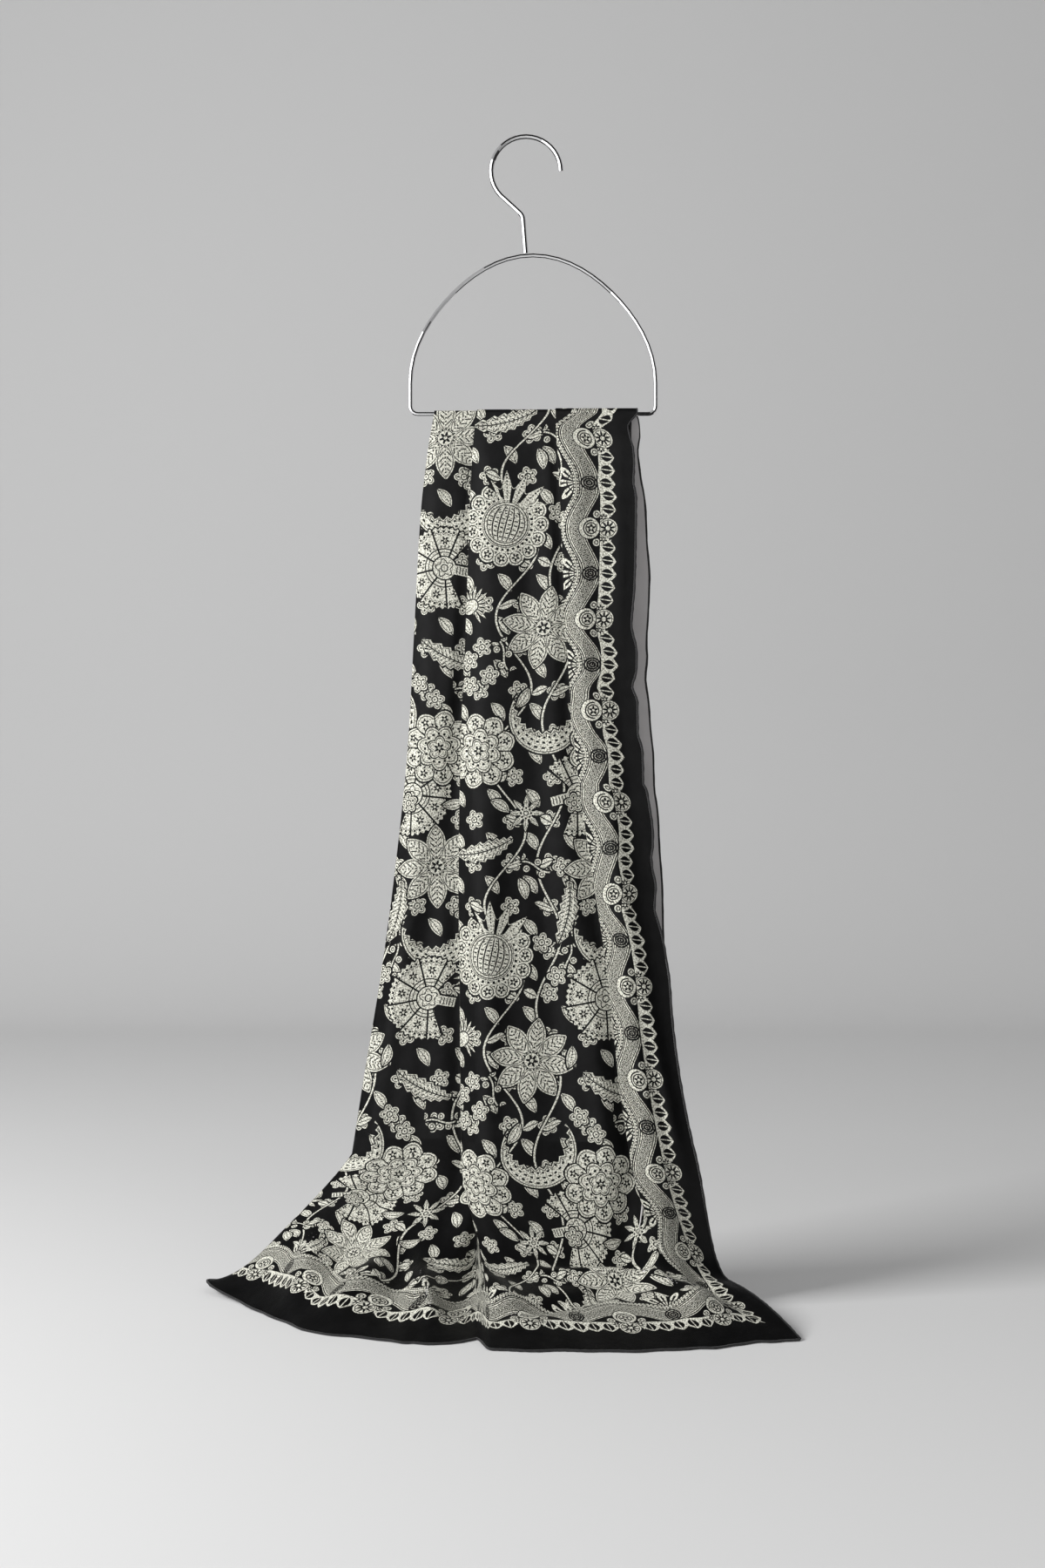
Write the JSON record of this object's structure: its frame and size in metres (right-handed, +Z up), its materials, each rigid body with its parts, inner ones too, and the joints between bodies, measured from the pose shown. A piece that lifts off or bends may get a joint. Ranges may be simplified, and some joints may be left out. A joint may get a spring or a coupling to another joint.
{
  "type": "dupatta on a wire hanger",
  "caption": "Long printed scarf hung in knife pleats over the straight bar of a D-shaped wire hanger, its front end spreading over the floor.",
  "frame": {"origin": "the inner top of the hanger's hook, where a rail carries it", "axes": "+Z up, +X to the viewer's right along the hanger's bar, -Y towards the viewer, where the front end spreads"},
  "size_m": [0.6988, 0.3748, 1.4026],
  "materials": {
    "printed_cloth": "thin soft cloth, black ground with an ivory floral print, plain grey on the reverse",
    "rolled_hem": "rolled and stitched black edge",
    "polished_wire": "bright chrome plated wire"
  },
  "bodies": {
    "root": {"cloth_front_fall": "printed_cloth", "cloth_floor_train": "printed_cloth", "cloth_over_bar": "printed_cloth", "cloth_back_fall": "printed_cloth", "hem_right": "rolled_hem", "hem_left": "rolled_hem", "hem_front_end": "rolled_hem", "hem_back_end": "rolled_hem", "hanger_frame": "polished_wire", "hanger_hook": "polished_wire"}
  },
  "joints": []
}
